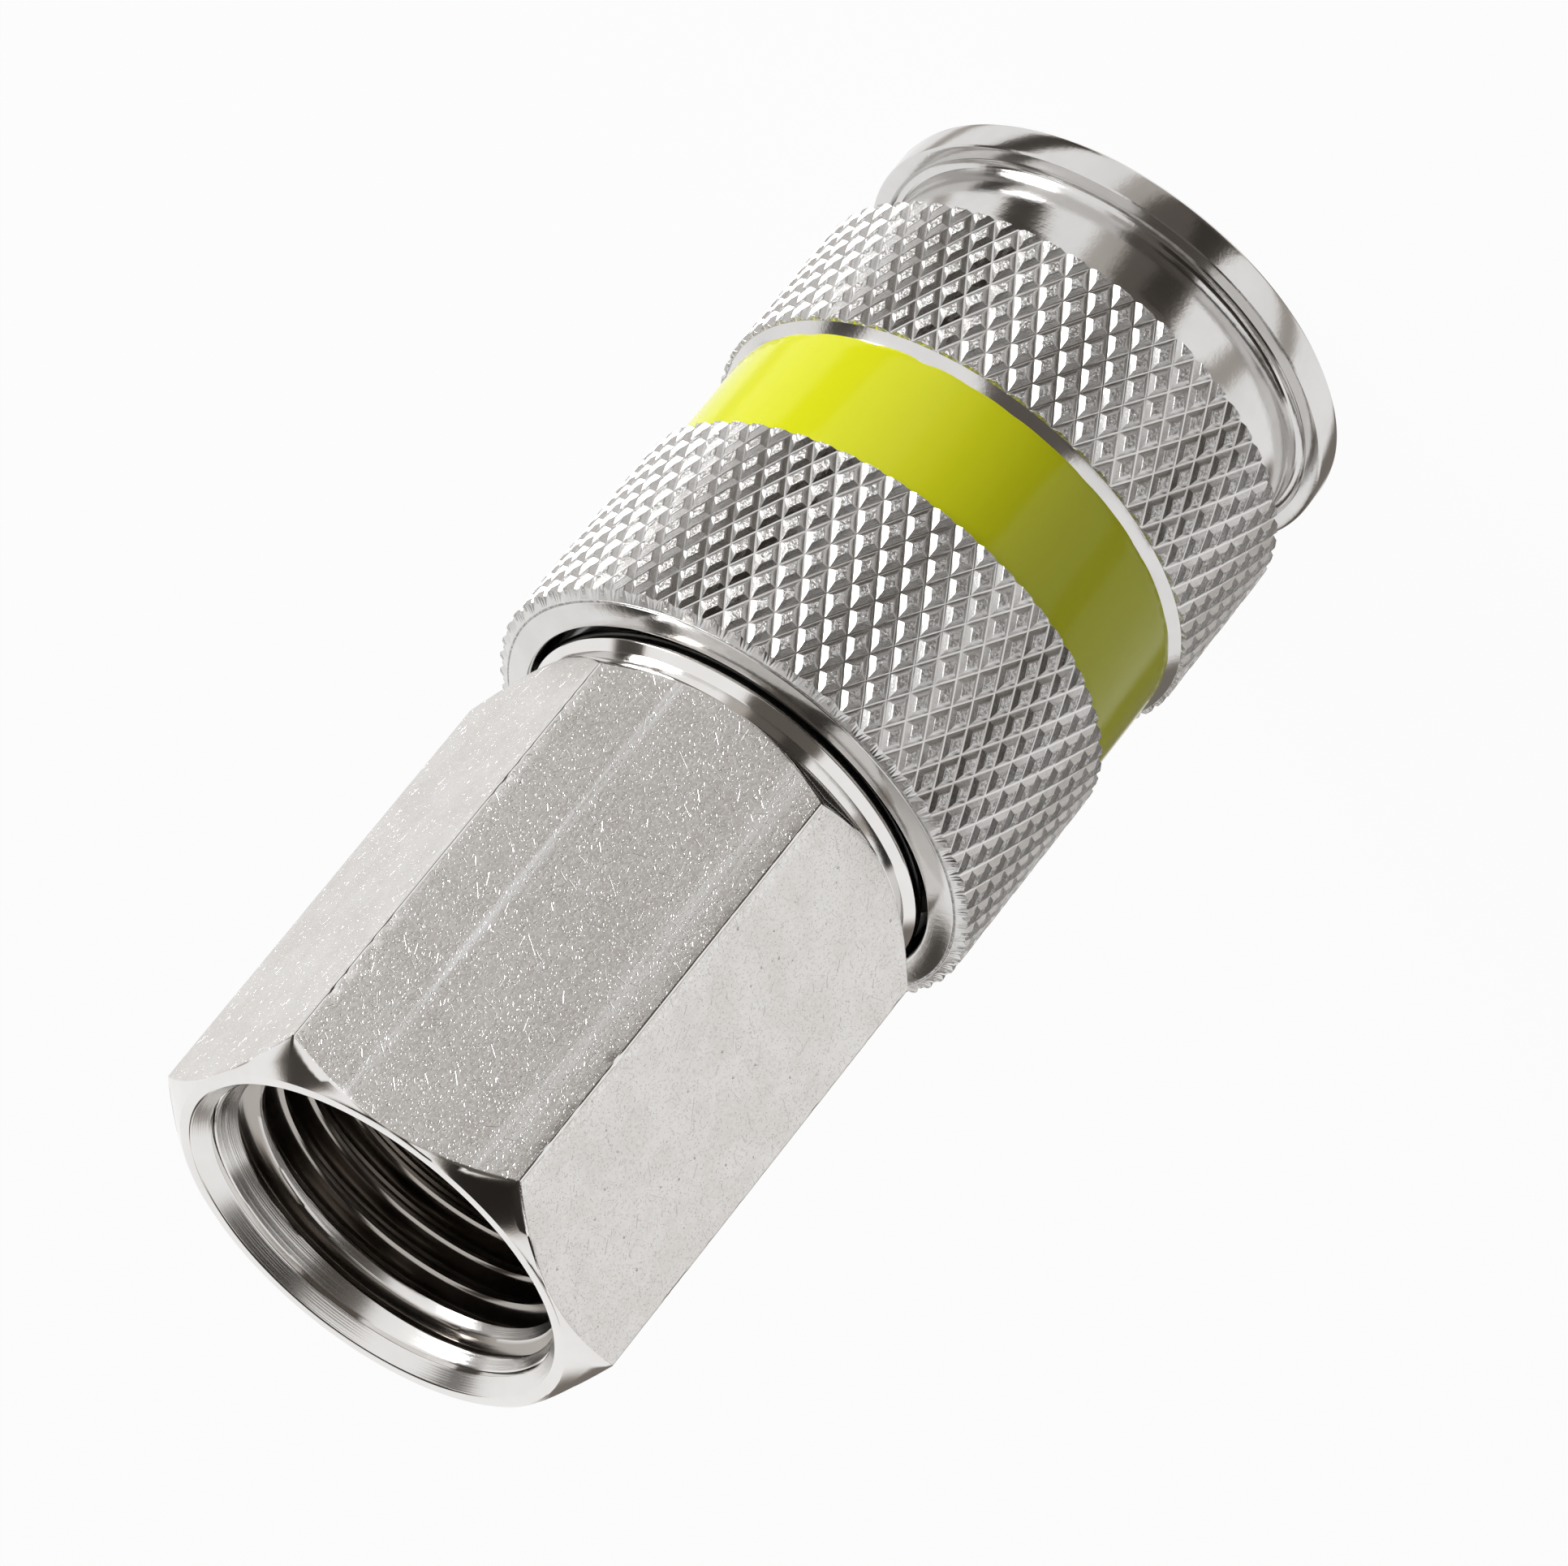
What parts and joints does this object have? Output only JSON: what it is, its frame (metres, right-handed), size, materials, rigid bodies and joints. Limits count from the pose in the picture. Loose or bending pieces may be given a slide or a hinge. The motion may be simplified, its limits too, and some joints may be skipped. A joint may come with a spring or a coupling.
{
  "type": "quick-release air coupling with female pipe thread",
  "caption": "Quick-release compressed-air coupling with a female pipe thread, hexagon tail, diamond-knurled release sleeve and a yellow marking band.",
  "frame": {"origin": "centre of the sleeve's rim, at the plug end, on the plane the part stands on", "axes": "+Z along the axis towards the threaded end, +X through an edge of the hexagon"},
  "size_m": [0.0296, 0.0296, 0.07],
  "materials": {
    "nickel_hexagon": "satin",
    "nickel_sleeve": "polished",
    "nickel_body": "polished",
    "yellow_lacquer": "gloss",
    "spring_steel": "satin",
    "ball_steel": "polished",
    "brass": "turned",
    "seal_rubber": "matt",
    "gasket_fibre": "matt"
  },
  "bodies": {
    "body": {"hexagon_tail": "nickel_hexagon", "socket_body": "nickel_body", "body_gasket": "gasket_fibre", "plug_seal": "seal_rubber", "retaining_ring": "spring_steel"},
    "spring_end": {"sleeve_spring": "spring_steel"},
    "sleeve": {"sleeve": "nickel_sleeve", "lacquer_band": "yellow_lacquer"},
    "valve": {"valve_poppet": "brass", "valve_seal": "seal_rubber", "valve_spring": "spring_steel"},
    "locking_ball_1": {"locking_ball_1": "ball_steel"},
    "locking_ball_2": {"locking_ball_2": "ball_steel"},
    "locking_ball_3": {"locking_ball_3": "ball_steel"},
    "locking_ball_4": {"locking_ball_4": "ball_steel"},
    "locking_ball_5": {"locking_ball_5": "ball_steel"},
    "locking_ball_6": {"locking_ball_6": "ball_steel"}
  },
  "joints": [
    {"name": "sleeve_slide", "type": "slide", "parent": "body", "child": "spring_end", "axis": [0, 0, 1], "range_m": [0, 0.002], "stiffness_N_per_m": 2000, "springref_m": -0.01, "deforming": ["sleeve_spring"]},
    {"name": "sleeve_spin", "type": "hinge", "parent": "spring_end", "child": "sleeve", "pos_m": [0, 0, 0], "axis": [0, 0, 1], "continuous": true},
    {"name": "valve_slide", "type": "slide", "parent": "body", "child": "valve", "axis": [0, 0, 1], "range_m": [0, 0.0035], "stiffness_N_per_m": 600, "springref_m": -0.008, "deforming": ["valve_spring"]},
    {"name": "locking_ball_1_slide", "type": "slide", "parent": "body", "child": "locking_ball_1", "axis": [1, 0, 0], "range_m": [0, 0.00095]},
    {"name": "locking_ball_2_slide", "type": "slide", "parent": "body", "child": "locking_ball_2", "axis": [0.5, 0.866, 0], "range_m": [0, 0.00095]},
    {"name": "locking_ball_3_slide", "type": "slide", "parent": "body", "child": "locking_ball_3", "axis": [-0.5, 0.866, 0], "range_m": [0, 0.00095]},
    {"name": "locking_ball_4_slide", "type": "slide", "parent": "body", "child": "locking_ball_4", "axis": [-1, 0, 0], "range_m": [0, 0.00095]},
    {"name": "locking_ball_5_slide", "type": "slide", "parent": "body", "child": "locking_ball_5", "axis": [-0.5, -0.866, 0], "range_m": [0, 0.00095]},
    {"name": "locking_ball_6_slide", "type": "slide", "parent": "body", "child": "locking_ball_6", "axis": [0.5, -0.866, 0], "range_m": [0, 0.00095]}
  ],
  "couplings": [
    {"joint": "locking_ball_1_slide", "follows": "sleeve_slide", "ratio": 0.475},
    {"joint": "locking_ball_2_slide", "follows": "sleeve_slide", "ratio": 0.475},
    {"joint": "locking_ball_3_slide", "follows": "sleeve_slide", "ratio": 0.475},
    {"joint": "locking_ball_4_slide", "follows": "sleeve_slide", "ratio": 0.475},
    {"joint": "locking_ball_5_slide", "follows": "sleeve_slide", "ratio": 0.475},
    {"joint": "locking_ball_6_slide", "follows": "sleeve_slide", "ratio": 0.475}
  ]
}
